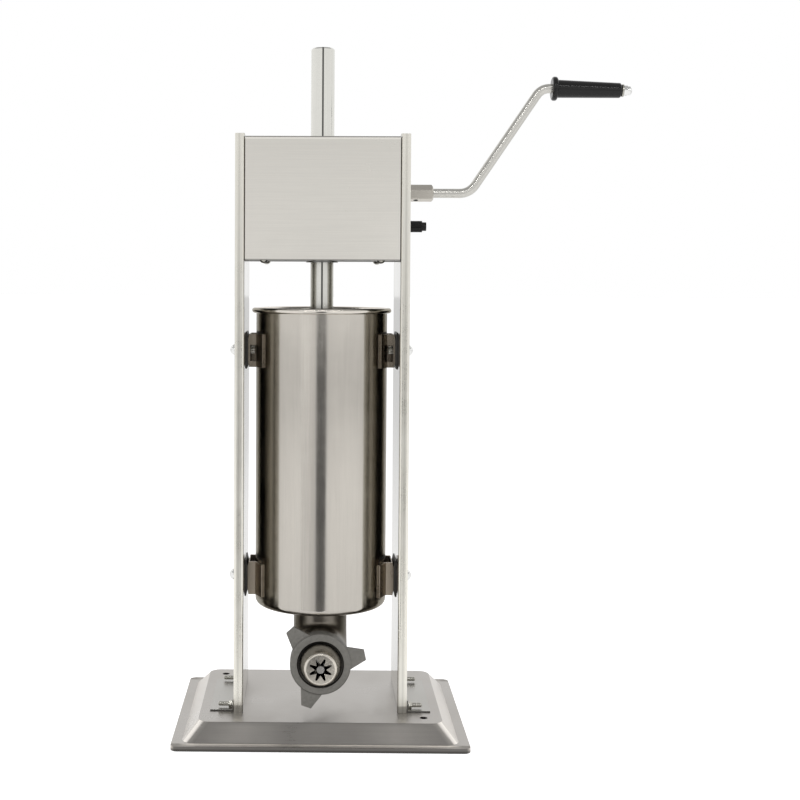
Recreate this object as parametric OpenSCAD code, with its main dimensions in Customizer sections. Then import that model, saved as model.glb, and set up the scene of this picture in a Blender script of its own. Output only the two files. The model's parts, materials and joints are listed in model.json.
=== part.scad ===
// Hand-cranked churro maker: a dough barrel between two folded uprights, a rack and
// piston driven down by a crank through a two-stage gear train, and an elbow outlet
// with a star nozzle held by a lobed nut. Millimetres, +Z up, the front faces -Y and
// the crank is on +X. The origin is on the table under the middle of the base.

/* [Base] */
// Width of the base over its flange
base_w = 300; // [290:1:330]
// Depth of the base over its flange
base_d = 242; // [232:1:270]
// Height of the raised top above the table
base_h = 22; // [20:0.5:28]
// Width of the raised top
base_top_w = 249; // [242:1:256]
// Depth of the raised top
base_top_d = 190; // [180:1:196]
// Sheet thickness of the base
base_sheet = 1.5; // [1.2:0.1:2]
// Height of the turned-down lip
base_lip_h = 5; // [4:0.5:6]
// Width of the flat flange outside the skirt
base_flange_w = 9.4; // [8:0.2:12]
// Corner radius of the flange
base_corner_r = 7; // [4:0.5:9]
// Corner radius of the skirt
skirt_corner_r = 12; // [8:0.5:16]
// Diameter of the two clamp holes
clamp_hole_d = 8; // [6:0.5:10]
// Distance of a clamp hole from the middle, across
clamp_x = 106; // [100:1:110]
// Distance of a clamp hole from the middle, front to back
clamp_y = 77; // [66:1:82]

/* [Uprights] */
// Clear width between the two webs
web_gap = 160; // [158:1:170]
// Sheet thickness of the uprights
upright_t = 1.5; // [1.2:0.1:2]
// How far the folded flanges stand out from the web's inner face
upright_flange = 10; // [9:0.5:12]
// Depth of the channel, front to back
upright_d = 120; // [116:1:124]
// Free space between the large gear and the rear cover
gear_rear_room = 7.3; // [6:0.1:9]
// Width of the lips along the open side
upright_lip = 25; // [22:0.5:26]
// Height of the top of the uprights above the table
upright_top = 620; // [616:1:640]
// Outer bend radius of the folds
upright_bend_r = 2.6; // [2.2:0.1:3]

/* [Feet] */
// How far a foot reaches out past the upright
foot_reach = 24.5; // [20:0.5:28]
// Height of the foot's upright leg
foot_leg_h = 12; // [11:0.5:16]
// Sheet thickness of the foot
foot_t = 1.5; // [1.2:0.1:2]
// Set-back of the foot's ends from the channel's ends
foot_inset = 4; // [2:0.5:8]
// Diameter of the foot bolts
foot_bolt_d = 4.6; // [4:0.2:5]
// Length of a foot bolt beyond its nut
foot_bolt_tail = 11; // [4:0.5:12]
// Height of a foot bolt above the base
foot_bolt_h = 5.2; // [5.2:0.2:6]

/* [Barrel] */
// Outer diameter of the barrel
barrel_od = 140; // [136:1:142]
// Wall thickness of the barrel
barrel_wall = 1.5; // [1.2:0.1:2]
// Height of the barrel's bottom above the table
barrel_bottom = 123; // [121:1:126]
// Height of the barrel from bottom to rim
barrel_h = 318; // [310:1:322]
// Outer radius of the barrel's bottom corner
barrel_corner_r = 7; // [4:0.5:10]
// Section diameter of the rolled rim
rim_bead_d = 6; // [4:0.5:7]
// Height of the upper mounting studs above the table
stud_z_high = 395.5; // [380:0.5:405]
// Height of the lower mounting studs above the table
stud_z_low = 153; // [150:0.5:170]
// Diameter of the mounting studs
stud_d = 8; // [6:0.5:9]
// Width of a barrel bracket, front to back
lug_w = 40; // [34:1:46]
// Height of a barrel bracket
lug_h = 35; // [30:1:38]
// Sheet thickness of a barrel bracket
lug_t = 2; // [1.5:0.1:2.4]
// Angle to which a bracket's wings wrap round the barrel
lug_wrap = 30; // [26:1:36]

/* [Outlet] */
// Outer diameter of the outlet tube
tube_od = 57; // [54:0.5:58]
// Wall thickness of the outlet tube
tube_wall = 2; // [1.5:0.1:2.5]
// Centreline radius of the elbow
elbow_r = 33; // [31:0.5:36]
// Height of the nozzle axis above the table
nozzle_z = 75.5; // [75:0.5:76]
// Distance of the nut's front face ahead of the barrel axis
nut_front = 75; // [74:0.5:84]
// Outer diameter of the nut's ring
nut_od = 62.8; // [62:0.2:66]
// Length of the nut
nut_len = 16; // [14:0.5:18]
// Diameter of the opening in the nut's face
nut_hole_d = 48.5; // [46:0.5:50]
// Thickness of the nut's face
nut_face_t = 3; // [2:0.2:4]
// Radius over the nut's three lobes
lobe_r = 47.2; // [44:0.2:49]
// Thickness of the lobes
lobe_t = 4.5; // [3:0.5:8]
// Outer diameter of the nozzle at the nut's face
nozzle_od = 43.4; // [41:0.2:45]
// Outer diameter of the nozzle just behind its face
nozzle_tip_d = 34.4; // [33:0.2:38]
// How far the nozzle stands out of the nut
nozzle_out = 19; // [12:0.5:22]
// Wall thickness of the nozzle
nozzle_wall = 1.2; // [1:0.1:1.6]
// Edge radius of the nozzle's face
nozzle_edge_r = 3; // [2:0.2:4]
// Radius over the star's rays
star_r = 12; // [10:0.2:13]
// Number of rays
star_rays = 8; // [5:1:8]
// Diameter of the pin that makes the churro hollow
core_pin_d = 7.8; // [6:0.2:8.2]

/* [Gearbox] */
// Height of the gearbox's underside above the table
gearbox_bottom = 490.5; // [488:0.5:492]
// Height of the gearbox's top above the table
gearbox_top = 617; // [612:0.5:618]
// Sheet thickness of the covers
cover_t = 1.5; // [1.2:0.1:2]
// Depth of the covers' top and bottom returns
cover_return = 30; // [24:1:32]
// Thickness of the side plates
side_plate_t = 3; // [2.5:0.5:4]
// Thickness of the top and bottom plates
cross_plate_t = 6; // [5:0.5:6.5]
// Diameter of the dome screws' heads
dome_head_d = 9.3; // [8:0.1:10]
// Height of the dome screws' heads
dome_head_h = 3.2; // [2.4:0.1:3.6]

/* [Gear train] */
// Distance of the two shafts behind the rack's axis
gear_y = 20; // [20:0.5:20.5]
// Height of the pinion shaft above the table
pinion_z = 528.5; // [527:0.5:530]
// Module of the reduction pair
pair_module = 1.5; // [1.4:0.05:1.5]
// Teeth of the crank pinion
crank_teeth = 12; // [12:1:13]
// Teeth of the reduction gear
gear_teeth = 36; // [34:1:36]
// Teeth of the rack pinion
rack_teeth = 12; // [12:1:12]
// Diameter of both shafts
shaft_d = 12; // [10:0.5:12]
// Width of the reduction gear
gear_w = 12; // [10:0.5:14]
// Width of the rack pinion
rack_pinion_w = 20; // [14:1:22]

/* [Rack and piston] */
// Diameter of the rack
rack_d = 25; // [24:0.2:26]
// Height of the rack's top above the table at rest
rack_top = 716; // [710:1:724]
// Width of the guide groove down the rack's front
groove_w = 1.6; // [1.2:0.1:2.4]
// Height of the piston's underside above the table at rest
piston_bottom = 222; // [218:1:226]
// Thickness of the piston
piston_t = 20; // [18:0.5:22]
// Gap between the piston and the barrel
piston_gap = 0.5; // [0.4:0.1:1]

/* [Crank] */
// Distance across the flats of the hexagonal hub
hub_af = 16; // [15:0.5:18]
// Length of the hub
hub_len = 25; // [22:0.5:28]
// Turn of the hub's flats about the shaft
hub_turn = 13; // [0:1:30]
// Diameter of the crank rod
rod_d = 10; // [9:0.2:10]
// Crank radius from shaft to grip
crank_r = 113; // [100:1:120]
// Slope of the crank arm from the shaft's axis
arm_slope = 56; // [52:1:62]
// Droop of the grip's axis
grip_droop = 1.4; // [0:0.1:2]
// Length of the grip
grip_len = 75; // [70:1:90]
// Diameter of the grip's flange
grip_flange_d = 25.7; // [24:0.1:28]
// Diameter of the grip behind its flange
grip_d = 19.4; // [18:0.1:21]
// Diameter of the grip at its end
grip_end_d = 16; // [15:0.1:17]

/* [Hidden] */

// Named clearances and overruns
over = 1;              // overrun of every cut
run_gap = 0.05;        // radial gap of a running shaft
fit_gap = 0.05;        // radial gap of a fixed fit
seat_gap = 0.2;        // end gap beside a running face
hole_gap = 0.3;        // radial gap round a bolt
free_gap = 0.3;        // gap between parts that slide past each other
thread_gap = 0.4;      // radial gap over the outlet's thread
weld_gap = 0.1;        // gap under a curved wing
cover_gap = 0.5;       // gap beside the covers
round_fn = 96;         // facets of large rounds
small_fn = 40;         // facets of small rounds

// Frame sizes
web_x = web_gap / 2;
upright_x = web_x + upright_flange;
add_share = 0.8;
upright_rear = gear_y + pair_module * gear_teeth / 2 + add_share * pair_module + gear_rear_room + cover_t;
upright_front = upright_d - upright_rear;
lip_mid_front = -upright_front + upright_lip / 2;
lip_mid_rear = upright_rear - upright_lip / 2;
stud_zs = [stud_z_high, stud_z_low];

// Hexagon and round fasteners
hex_corner = 1 / cos(30);
m5_d = 5;
m5_nut_af = 8;
m5_nut_h = 4;
m5_head_d = 8.6;
m5_head_h = 2.4;
foot_nut_af = 7;
foot_nut_h = 4;
foot_head_h = 2;
foot_bolt_z = base_h + foot_bolt_h;
top_head_h = 1.5;
stud_in = 71.6;
stud_end = 93;
washer_t = 1.6;
stud_washer_d = 16;
cap_af = 13;
cap_hex_h = 7;
cap_h = 15;
cap_bore_end = 12;

// Gearbox layout
cover_w = web_gap - 2 * cover_gap;
cover_side_return = 12;
cover_corner_r = 2.4;
side_plate_inset = 17;
side_plate_front = -upright_front + side_plate_inset;
side_plate_rear = upright_rear - side_plate_inset;
side_in = web_x - side_plate_t;
cross_front = -upright_front + cover_t + cover_gap;
cross_rear = upright_rear - cover_t - cover_gap;
screw_x = 60.5;
screw_inset = 16;
screw_front = -upright_front + screw_inset;
screw_rear = upright_rear - screw_inset;
side_bolt_inset = 10;
side_bolt_front = side_plate_front + side_bolt_inset;
side_bolt_rear = side_plate_rear - side_bolt_inset;
side_bolt_margin = 11;
side_bolt_zs = [gearbox_bottom + cover_t + side_bolt_margin, gearbox_top - cover_t - side_bolt_margin];
bush_od = 18;
bush_flange_d = 24;
bush_flange_t = 2;
bush_out = 1;
rack_bush_od = 34;
rack_bush_flange_d = 44;
rack_bush_flange_t = 4;
rack_bush_tail = 3;

// Gear train
pressure = 25;
ded_share = 1.05;
backlash = 0.22;
flank_steps = 6;
pair_distance = pair_module * (crank_teeth + gear_teeth) / 2;
crank_z = pinion_z + pair_distance;
rack_module = 2;
rack_pinion_r = rack_module * rack_teeth / 2;
rack_pitch = PI * rack_module;
rack_pitch_y = gear_y - rack_pinion_r;
rack_tip_y = rack_pitch_y + add_share * rack_module;
rack_root_y = rack_pitch_y - ded_share * rack_module;
travel_down = 90;
travel_up = 220;
gear_x = 40;
gear_hub_d = 26;
gear_hub_w = 8;
crank_pinion_w = 16;
spacer_d = 18;
collar_d = 20;
collar_w = 6;
shaft_left = -83;
shaft_cap_x = 88;
shaft_cap_end = 112.4;
shaft_cap_tip = 4.4;
shaft_cap_d = 12.2;
shaft_cap_tip_d = 9.4;
shaft_cap_teeth = 24;
shaft_cap_knurl = 0.5;
shaft_cap_spigot_d = 8;
shaft_cap_spigot_end = 104;

// Crank
hub_x = 94.5;
hub_end = hub_x + hub_len;
rod_start = 110;
hub_chamfer = 1.6;
set_screw_x = 101;
bend_in_r = 20;
bend_out_r = 16;
arm_corner_x = 159;
arm_top_x = arm_corner_x + crank_r / tan(arm_slope);
grip_x = arm_top_x + 0.69 * bend_out_r;
grip_flange_t = 6;
grip_flange_round = 2.4;
grip_end_round = 2;
rod_tail = 8.4;
grip_washer_t = 1.8;
grip_washer_d = 13.4;
grip_thread_d = 6;
grip_nut_af = 10;
grip_nut_hex_h = 4;
grip_nut_h = 9.4;
grip_nut_dome_d = 9.6;
splice_h = 0.5;
splice_rise = 0.05;
splice_gap = 0.1;

// Rack and piston
rack_seat = 246;
rack_chamfer = 1.6;
groove_depth = 1.5;
key_gap = 0.2;
rack_stud_d = 16;
stud_chamfer = 1;
piston_r = barrel_od / 2 - barrel_wall - piston_gap;
piston_edge_r = 2;
piston_top = piston_bottom + piston_t;
piston_recess_d = 34;
piston_recess_h = 10;
piston_nut_af = 24;
piston_nut_h = 8;
piston_washer_d = 44;
seal_h = 6;
seal_depth = 4;
seal_gap = 0.3;
valve_x = 40;
valve_stem_d = 8;
valve_head_d = 14;
valve_head_h = 3;
valve_lift = 3;
valve_tail = 8;
valve_clip_d = 13;
valve_clip_h = 2;
valve_recess_d = 16;
valve_recess_h = 4;

// Barrel and outlet
barrel_top = barrel_bottom + barrel_h;
barrel_r = barrel_od / 2;
tube_bore = tube_od - 2 * tube_wall;
pad_t = 2.4;
pad_bevel = 5;
lug_out = web_x - pad_t;
window_h = 17.4;
window_rise = 6;
thread_ring = 1.3;
thread_depth = 0.8;
thread_count = 4;
nozzle_flange_t = 2;
nozzle_flange_d = 54;
gasket_t = 2;
gasket_id = 36;
nut_rear = nut_front - nut_len;
nut_bore_d = tube_od + 2 * thread_gap;
flange_front = nut_front - nut_face_t - seat_gap;
gasket_front = flange_front - nozzle_flange_t;
tube_end = gasket_front - gasket_t;
nozzle_face = nut_front + nozzle_out;
nozzle_face_t = 1.6;
lobe_turn = 12;
lobe_base_angle = 24;
lobe_tip_angle = 6.3;
lobe_set_back = 2.5;
lobe_root_share = 0.96;
nut_edge = 1;
star_hole_r = 5;
ray_base_w = 5.5;
ray_tip_w = 2.2;
ray_turn = 22.5;
core_ring_w = 3;
core_ring_h = 5;
core_arm_w = 3;
core_arms = 3;

// A cylinder along +X from x0 to x1 round the line at y, z
module x_rod(x0, x1, d, y, z, fn = small_fn)
    translate([min(x0, x1), y, z]) rotate([0, 90, 0]) cylinder(h = abs(x1 - x0), d = d, $fn = fn);

// A cylinder along Y from y0 to y1 round the line at x, z
module y_rod(y0, y1, d, x, z, fn = round_fn)
    translate([x, max(y0, y1), z]) rotate([90, 0, 0]) cylinder(h = abs(y1 - y0), d = d, $fn = fn);

// A hexagonal bar along X
module x_hex(x0, x1, af, y, z, turn = 0)
    translate([min(x0, x1), y, z]) rotate([turn, 0, 0]) rotate([0, 90, 0])
        cylinder(h = abs(x1 - x0), d = af * hex_corner, $fn = 6);

// A rectangle with round corners
module round_rect(w, d, r) {
    square([w - 2 * r, d], center = true);
    square([w, d - 2 * r], center = true);
    for (sx = [-1, 1], sy = [-1, 1])
        translate([sx * (w / 2 - r), sy * (d / 2 - r)]) circle(r = r, $fn = 32);
}

// Solid frustum with round corners
module frustum(w0, d0, w1, d1, r, z0, z1, skin)
    hull() {
        translate([0, 0, z0]) linear_extrude(skin) round_rect(w0, d0, r);
        translate([0, 0, z1 - skin]) linear_extrude(skin) round_rect(w1, d1, r);
    }

// Quarter of a ring in 2D, spanning the corner towards +x, -y
module corner_ring(ro, ri)
    intersection() {
        difference() {
            circle(r = ro, $fn = round_fn);
            circle(r = ri, $fn = round_fn);
        }
        translate([0, -ro]) square([ro, ro]);
    }

// A dome-headed shape standing on z = 0 and rising
module dome(d, h)
    intersection() {
        cylinder(h = h, d = d, $fn = small_fn);
        translate([0, 0, h - (d * d / 4 + h * h) / (2 * h)])
            sphere(r = (d * d / 4 + h * h) / (2 * h), $fn = small_fn);
    }

// Involute outline of a gear
function flank_angle(r, rb) = r <= rb ? 0 : sqrt(r * r / rb / rb - 1) * 180 / PI - acos(rb / r);
function polar(r, a) = [r * cos(a), r * sin(a)];
module gear_outline(m, teeth) {
    rp = m * teeth / 2;
    rb = rp * cos(pressure);
    rr = rp - ded_share * m;
    rt = rp + add_share * m;
    r0 = max(rb, rr);
    half = 90 / teeth - backlash / 2 / rp * 90 / PI + flank_angle(rp, rb);
    root_half = rr < rb ? half : half - flank_angle(rr, rb);
    flank = [for (i = [0:flank_steps]) r0 + (rt - r0) * i / flank_steps];
    polygon([for (t = [0:teeth - 1]) let (c = 360 * t / teeth) each concat(
        [polar(rr, c - root_half)],
        [for (r = flank) polar(r, c - half + flank_angle(r, rb))],
        [for (i = [flank_steps:-1:0]) polar(flank[i], c + half - flank_angle(flank[i], rb))],
        [polar(rr, c + root_half)])]);
}

// A gear on an X shaft, its first tooth turned by the given angle
module x_gear(m, teeth, w, x, z, turn)
    translate([x, gear_y, z]) rotate([90, 0, 90]) rotate(turn)
        linear_extrude(w) gear_outline(m, teeth);

// Base
module base_tray() color([0.72, 0.70, 0.67]) {
    skirt_w = base_w - 2 * base_flange_w;
    skirt_d = base_d - 2 * base_flange_w;
    ledge = base_lip_h - base_sheet;
    difference() {
        union() {
            linear_extrude(base_lip_h) round_rect(base_w, base_d, base_corner_r);
            frustum(skirt_w, skirt_d, base_top_w, base_top_d, skirt_corner_r, ledge, base_h, base_sheet / 4);
        }
        translate([0, 0, -over]) linear_extrude(over + ledge)
            round_rect(base_w - 2 * base_sheet, base_d - 2 * base_sheet, base_corner_r - base_sheet);
        frustum(skirt_w - 2 * base_sheet, skirt_d - 2 * base_sheet, base_top_w - 2 * base_sheet,
            base_top_d - 2 * base_sheet, skirt_corner_r - base_sheet, ledge - base_sheet,
            base_h - base_sheet, base_sheet / 4);
        for (s = [-1, 1]) translate([s * clamp_x, -s * clamp_y, 0])
            cylinder(h = base_h + over, d = clamp_hole_d, $fn = small_fn);
    }
}

// Uprights: folded channels, open outwards between two lips
module upright_profile()
    difference() {
        translate([web_x + upright_flange / 2, upright_rear - upright_d / 2])
            round_rect(upright_flange, upright_d, upright_bend_r);
        translate([web_x + upright_flange / 2, upright_rear - upright_d / 2])
            round_rect(upright_flange - 2 * upright_t, upright_d - 2 * upright_t, upright_bend_r - upright_t);
        translate([upright_x - upright_t - over, -upright_front + upright_lip])
            square([upright_t + 2 * over, upright_d - 2 * upright_lip]);
    }
module upright(side)
    mirror([side < 0 ? 1 : 0, 0, 0]) difference() {
        translate([0, 0, base_h]) linear_extrude(upright_top - base_h) upright_profile();
        for (z = stud_zs) x_rod(web_x - over, web_x + upright_t + over, stud_d + 2 * hole_gap, 0, z);
        for (z = [pinion_z, crank_z])
            x_rod(web_x - over, web_x + upright_t + over, bush_od + 2 * fit_gap, gear_y, z);
        for (y = [side_bolt_front, side_bolt_rear], z = side_bolt_zs)
            x_rod(web_x - over, web_x + upright_t + over, m5_d + 2 * hole_gap, y, z);
        for (y = [lip_mid_front, lip_mid_rear])
            x_rod(upright_x - upright_t - over, upright_x + over, foot_bolt_d + 2 * hole_gap, y, foot_bolt_z);
    }
module left_upright() color([0.80, 0.79, 0.77]) upright(-1);
module right_upright() color([0.80, 0.79, 0.77]) upright(1);

// Feet: angles that hold the uprights to the base
module foot_bracket(side)
    mirror([side < 0 ? 1 : 0, 0, 0]) difference() {
        union() {
            translate([upright_x, -upright_front + foot_inset, base_h])
                cube([foot_reach, upright_d - 2 * foot_inset, foot_t]);
            translate([upright_x, -upright_front + foot_inset, base_h])
                cube([foot_t, upright_d - 2 * foot_inset, foot_leg_h]);
        }
        for (y = [lip_mid_front, lip_mid_rear])
            x_rod(upright_x - over, upright_x + foot_t + over, foot_bolt_d + 2 * hole_gap, y, foot_bolt_z);
    }
module left_foot_bracket() color([0.74, 0.72, 0.70]) foot_bracket(-1);
module right_foot_bracket() color([0.74, 0.72, 0.70]) foot_bracket(1);
foot_nut_x = upright_x + foot_t;
module foot_bolts() color([0.62, 0.60, 0.55])
    for (s = [0, 1], y = [lip_mid_front, lip_mid_rear]) mirror([s, 0, 0]) {
        x_rod(upright_x - upright_t - foot_head_h, upright_x - upright_t, m5_head_d, y, foot_bolt_z);
        x_rod(upright_x - upright_t, foot_nut_x + foot_nut_h + foot_bolt_tail - foot_bolt_d / 4,
            foot_bolt_d, y, foot_bolt_z);
        translate([foot_nut_x + foot_nut_h + foot_bolt_tail - foot_bolt_d / 4, y, foot_bolt_z])
            rotate([0, 90, 0]) dome(foot_bolt_d, foot_bolt_d / 4);
    }
module foot_nuts() color([0.52, 0.50, 0.44])
    for (s = [0, 1], y = [lip_mid_front, lip_mid_rear]) mirror([s, 0, 0]) difference() {
        x_hex(foot_nut_x, foot_nut_x + foot_nut_h, foot_nut_af, y, foot_bolt_z, 90);
        x_rod(foot_nut_x - over, foot_nut_x + foot_nut_h + over, foot_bolt_d + 2 * fit_gap, y, foot_bolt_z);
    }

// Gearbox covers: shallow trays with long top and bottom returns
module cover_shell(y_face, dir) {
    y1 = y_face + dir * cover_t;
    face_h = gearbox_top - gearbox_bottom;
    translate([-cover_w / 2, min(y_face, y1), gearbox_bottom]) cube([cover_w, cover_t, face_h]);
    for (z = [gearbox_bottom, gearbox_top - cover_t])
        translate([-cover_w / 2, min(y1, y1 + dir * cover_return), z]) cube([cover_w, cover_return, cover_t]);
    for (x = [-cover_w / 2, cover_w / 2 - cover_t])
        translate([x, min(y1, y1 + dir * cover_side_return), gearbox_bottom])
            cube([cover_t, cover_side_return, face_h]);
}
module cover_holes(y)
    for (x = [-screw_x, screw_x]) translate([x, y, gearbox_bottom - over])
        cylinder(h = gearbox_top - gearbox_bottom + 2 * over, d = m5_d + 2 * hole_gap, $fn = small_fn);
module gearbox_front_cover() color([0.82, 0.81, 0.79]) difference() {
    cover_shell(-upright_front, 1);
    cover_holes(screw_front);
}
module gearbox_rear_cover() color([0.80, 0.79, 0.77]) difference() {
    cover_shell(upright_rear, -1);
    cover_holes(screw_rear);
}

// Cross plates that carry the rack's bushes
module cross_plate(z)
    difference() {
        translate([-side_in, cross_front, z]) cube([2 * side_in, cross_rear - cross_front, cross_plate_t]);
        translate([0, 0, z - over])
            cylinder(h = cross_plate_t + 2 * over, d = rack_bush_od + 2 * fit_gap, $fn = round_fn);
        for (x = [-screw_x, screw_x], y = [screw_front, screw_rear]) translate([x, y, z - over])
            cylinder(h = cross_plate_t + 2 * over, d = m5_d + 2 * fit_gap, $fn = small_fn);
        for (sx = [-1, 1], c = [cross_front, cross_rear])
            translate([sx * (side_in + (web_x - cover_gap - cover_t - side_in) - over / 2), c, z - over])
                cube([2 * cover_side_return, 2 * (cover_side_return + cover_gap), 2 * cross_plate_t * 2],
                    center = true);
    }
plate_bottom_z = gearbox_bottom + cover_t;
plate_top_z = gearbox_top - cover_t - cross_plate_t;
module gearbox_bottom_plate() color([0.66, 0.66, 0.65]) cross_plate(plate_bottom_z);
module gearbox_top_plate() color([0.66, 0.66, 0.65]) cross_plate(plate_top_z);

// Side plates against the webs, which carry the shafts' bushes
module side_plate(side)
    mirror([side < 0 ? 1 : 0, 0, 0]) difference() {
        translate([side_in, side_plate_front, plate_bottom_z])
            cube([side_plate_t, side_plate_rear - side_plate_front, gearbox_top - gearbox_bottom - 2 * cover_t]);
        for (z = [pinion_z, crank_z])
            x_rod(side_in - over, web_x + over, bush_od + 2 * fit_gap, gear_y, z);
        for (y = [side_bolt_front, side_bolt_rear], z = side_bolt_zs)
            x_rod(side_in - over, web_x + over, m5_d + 2 * hole_gap, y, z);
    }
module left_side_plate() color([0.62, 0.62, 0.61]) side_plate(-1);
module right_side_plate() color([0.62, 0.62, 0.61]) side_plate(1);

// Screws of the gearbox
module underside_dome_screws() color([0.78, 0.77, 0.74])
    for (x = [-screw_x, screw_x], y = [screw_front, screw_rear]) {
        translate([x, y, gearbox_bottom]) rotate([180, 0, 0]) dome(dome_head_d, dome_head_h);
        translate([x, y, gearbox_bottom])
            cylinder(h = cover_t + cross_plate_t, d = m5_d, $fn = small_fn);
    }
module top_screws() color([0.78, 0.77, 0.74])
    for (x = [-screw_x, screw_x], y = [screw_front, screw_rear]) {
        translate([x, y, gearbox_top]) dome(dome_head_d, top_head_h);
        translate([x, y, gearbox_top - cover_t - cross_plate_t])
            cylinder(h = cover_t + cross_plate_t, d = m5_d, $fn = small_fn);
    }
module side_plate_bolts() color([0.60, 0.60, 0.58])
    for (s = [0, 1], y = [side_bolt_front, side_bolt_rear], z = side_bolt_zs) mirror([s, 0, 0]) {
        translate([side_in, y, z]) rotate([0, -90, 0]) dome(m5_head_d, m5_head_h);
        x_rod(side_in, web_x + upright_t + m5_nut_h + upright_t / 2, m5_d, y, z);
    }
module side_plate_nuts() color([0.60, 0.60, 0.58])
    for (s = [0, 1], y = [side_bolt_front, side_bolt_rear], z = side_bolt_zs) mirror([s, 0, 0])
        difference() {
            x_hex(web_x + upright_t, web_x + upright_t + m5_nut_h, m5_nut_af, y, z, 90);
            x_rod(web_x, web_x + upright_t + m5_nut_h + over, m5_d + 2 * fit_gap, y, z);
        }

// Flanged bushes of the two shafts
module shaft_bushes() color([0.72, 0.55, 0.30])
    for (s = [0, 1], z = [pinion_z, crank_z]) mirror([s, 0, 0]) difference() {
        union() {
            x_rod(side_in - bush_flange_t, side_in, bush_flange_d, gear_y, z);
            x_rod(side_in - bush_flange_t, web_x + upright_t + bush_out, bush_od, gear_y, z);
        }
        x_rod(side_in - bush_flange_t - over, web_x + upright_t + bush_out + over,
            shaft_d + 2 * run_gap, gear_y, z);
    }

// Flanged bushes that guide the rack, with a key in the rack's groove
module rack_bush(z, dir) {
    bore = rack_d + 2 * run_gap;
    low = dir > 0 ? z - rack_bush_tail : z + cross_plate_t + rack_bush_tail;
    high = dir > 0 ? z + cross_plate_t + rack_bush_flange_t : z - rack_bush_flange_t;
    shelf = dir > 0 ? z + cross_plate_t : z - rack_bush_flange_t;
    difference() {
        union() {
            translate([0, 0, min(low, high)]) cylinder(h = abs(high - low), d = rack_bush_od, $fn = round_fn);
            translate([0, 0, shelf]) cylinder(h = rack_bush_flange_t, d = rack_bush_flange_d, $fn = round_fn);
        }
        translate([0, 0, min(low, high) - over])
            cylinder(h = abs(high - low) + 2 * over, d = bore, $fn = round_fn);
    }
    translate([-groove_w / 2 + key_gap, -bore / 2 - over, min(low, high)])
        cube([groove_w - 2 * key_gap, over + groove_depth - key_gap, abs(high - low)]);
}
module lower_rack_bush() color([0.72, 0.55, 0.30]) rack_bush(plate_bottom_z, 1);
module upper_rack_bush() color([0.72, 0.55, 0.30]) rack_bush(plate_top_z, -1);

// Pinion shaft group
module pinion_shaft() color([0.70, 0.70, 0.69]) {
    x_rod(shaft_left, shaft_cap_x, shaft_d, gear_y, pinion_z);
    x_rod(shaft_cap_x, shaft_cap_spigot_end, shaft_cap_spigot_d, gear_y, pinion_z);
}
module rack_pinion() color([0.58, 0.58, 0.57]) difference() {
    x_gear(rack_module, rack_teeth, rack_pinion_w, -rack_pinion_w / 2, pinion_z, 0);
    x_rod(-rack_pinion_w / 2 - over, rack_pinion_w / 2 + over, shaft_d + 2 * fit_gap, gear_y, pinion_z);
}
module gear_spacer() color([0.66, 0.66, 0.65]) difference() {
    x_rod(rack_pinion_w / 2, gear_x, spacer_d, gear_y, pinion_z);
    x_rod(rack_pinion_w / 2 - over, gear_x + over, shaft_d + 2 * fit_gap, gear_y, pinion_z);
}
module reduction_gear() color([0.58, 0.58, 0.57]) difference() {
    union() {
        x_gear(pair_module, gear_teeth, gear_w, gear_x, pinion_z, 90 % (360 / gear_teeth));
        x_rod(gear_x, gear_x + gear_w + gear_hub_w, gear_hub_d, gear_y, pinion_z);
    }
    x_rod(gear_x - over, gear_x + gear_w + gear_hub_w + over, shaft_d + 2 * fit_gap, gear_y, pinion_z);
}
module collars(z)
    for (s = [0, 1]) mirror([s, 0, 0]) difference() {
        x_rod(side_in - bush_flange_t - seat_gap - collar_w, side_in - bush_flange_t - seat_gap,
            collar_d, gear_y, z);
        x_rod(side_in - bush_flange_t - seat_gap - collar_w - over, side_in, shaft_d + 2 * fit_gap, gear_y, z);
    }
module pinion_shaft_collars() color([0.50, 0.50, 0.50]) collars(pinion_z);
module pinion_shaft_cap() color([0.10, 0.10, 0.10]) difference() {
    union() {
        translate([shaft_cap_x, gear_y, pinion_z]) rotate([90, 0, 90])
            linear_extrude(shaft_cap_end - shaft_cap_tip - shaft_cap_x)
                polygon([for (i = [0:4 * shaft_cap_teeth - 1])
                    polar(shaft_cap_d / 2 - (i % 4 > 1 ? shaft_cap_knurl : 0), 90 * i / shaft_cap_teeth)]);
        x_rod(shaft_cap_x, shaft_cap_end, shaft_cap_tip_d, gear_y, pinion_z);
    }
    x_rod(shaft_cap_x - over, shaft_cap_spigot_end, shaft_cap_spigot_d + 2 * fit_gap, gear_y, pinion_z);
}

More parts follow.
